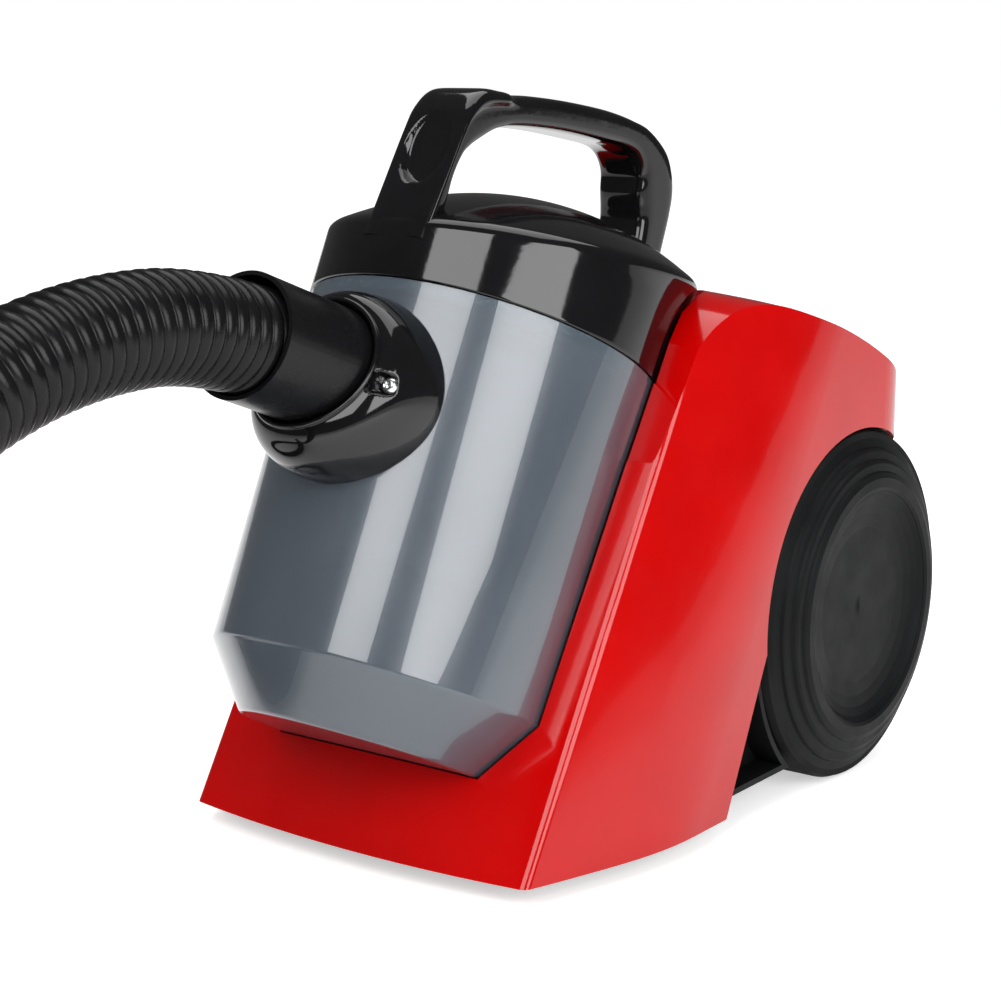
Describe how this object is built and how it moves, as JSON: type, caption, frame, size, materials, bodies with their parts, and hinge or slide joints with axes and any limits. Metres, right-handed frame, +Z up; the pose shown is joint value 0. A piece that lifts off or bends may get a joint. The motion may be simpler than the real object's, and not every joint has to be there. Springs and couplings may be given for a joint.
{
  "type": "canister vacuum cleaner",
  "caption": "Small bagless canister vacuum cleaner with a leaning clear dust cup, loop handle, two large rear wheels and a ribbed suction hose.",
  "frame": {"origin": "on the floor, under the middle of the machine's box without the hose", "axes": "+Z up, -Y towards the front where the hose leaves, +X to the machine's left as seen from the front"},
  "size_m": [0.4967, 0.7647, 0.2966],
  "materials": {
    "aluminium": "satin",
    "black_gloss": "gloss",
    "black_matt": "matt",
    "carbon": "matt",
    "copper": "enamelled wire",
    "filter_paper": "pleated",
    "foam": "open cell",
    "grey_plastic": "satin",
    "hose_black": "semi-gloss ribs",
    "lamination": "dull",
    "red_gloss": "gloss",
    "rubber_black": "matt",
    "smoke_clear": "translucent gloss",
    "steel": "plain",
    "zinc_screw": "bright"
  },
  "bodies": {
    "chassis": {"upper_housing": "red_gloss", "base_pan": "black_matt", "wheel_axles": "steel", "wheel_clips": "steel", "pan_screws": "zinc_screw", "motor_frame": "steel", "stator_core": "lamination", "field_windings": "copper", "bearing_lower": "steel", "bearing_upper": "steel", "brush_holders": "grey_plastic", "carbon_brushes": "carbon", "fan_shroud": "aluminium", "motor_mount": "rubber_black", "motor_duct": "black_matt", "duct_seal": "rubber_black", "switch_body": "grey_plastic", "button_spring": "steel", "cord_gland": "rubber_black"},
    "left_wheel": {"wheel_left": "black_matt", "tyre_left": "rubber_black", "hub_cap_left": "black_matt"},
    "right_wheel": {"wheel_right": "black_matt", "tyre_right": "rubber_black", "hub_cap_right": "black_matt"},
    "castor": {"castor_fork": "grey_plastic", "castor_pin": "steel"},
    "castor_wheel": {"castor_roller": "black_matt"},
    "rotor": {"motor_shaft": "steel", "armature": "lamination", "commutator": "copper", "impeller": "aluminium"},
    "button": {"power_button": "black_gloss"},
    "exhaust_cover": {"exhaust_grille": "black_matt", "exhaust_filter": "foam"},
    "cup": {"dust_cup": "smoke_clear", "inlet_collar": "black_gloss", "collar_screws": "zinc_screw"},
    "lid": {"lid_shell": "black_gloss", "lid_seal": "rubber_black", "carry_handle": "black_gloss", "handle_screw": "zinc_screw", "filter_frame": "black_matt", "filter_pleats": "filter_paper", "filter_cap": "black_matt"},
    "hose": {"hose_tube": "hose_black", "hose_ferrule": "black_gloss", "hand_grip": "black_gloss"},
    "cuff": {"hose_cuff": "black_gloss"},
    "bleed_slider": {"suction_slider": "grey_plastic"}
  },
  "joints": [
    {"name": "left_wheel_spin", "type": "hinge", "parent": "chassis", "child": "left_wheel", "pos_m": [-0.092, 0.09125, 0.0762], "axis": [1, 0, 0], "continuous": true},
    {"name": "right_wheel_spin", "type": "hinge", "parent": "chassis", "child": "right_wheel", "pos_m": [0.092, 0.09125, 0.0762], "axis": [1, 0, 0], "continuous": true},
    {"name": "castor_swivel", "type": "hinge", "parent": "chassis", "child": "castor", "pos_m": [0, -0.10165, 0.02], "axis": [0, 0, 1], "continuous": true},
    {"name": "castor_roll", "type": "hinge", "parent": "castor", "child": "castor_wheel", "pos_m": [0, -0.09665, 0.009], "axis": [1, 0, 0], "continuous": true},
    {"name": "motor_spin", "type": "hinge", "parent": "chassis", "child": "rotor", "pos_m": [0, 0.08085, 0.065], "axis": [0, 0, 1], "continuous": true},
    {"name": "power_press", "type": "slide", "parent": "chassis", "child": "button", "axis": [0, -0.3907, -0.9205], "range_m": [0, 0.004], "stiffness_N_per_m": 300, "springref_m": -0.002},
    {"name": "exhaust_cover_pull", "type": "slide", "parent": "chassis", "child": "exhaust_cover", "axis": [0, 1, 0], "range_m": [0, 0.05]},
    {"name": "cup_lift_off", "type": "slide", "parent": "chassis", "child": "cup", "axis": [0, 0.4633, 0.8862], "range_m": [0, 0.2]},
    {"name": "lid_lift_off", "type": "slide", "parent": "cup", "child": "lid", "axis": [0, 0.4633, 0.8862], "range_m": [0, 0.15]},
    {"name": "hose_pull_out", "type": "slide", "parent": "cup", "child": "hose", "axis": [0, -0.9385, 0.3453], "range_m": [0, 0.04]},
    {"name": "cuff_swivel", "type": "hinge", "parent": "hose", "child": "cuff", "pos_m": [0, -0.12225, 0.19101], "axis": [0, -0.9385, 0.3453], "continuous": true},
    {"name": "bleed_slide", "type": "slide", "parent": "hose", "child": "bleed_slider", "axis": [0.528, 0.8134, -0.2444], "range_m": [0, 0.012]}
  ]
}
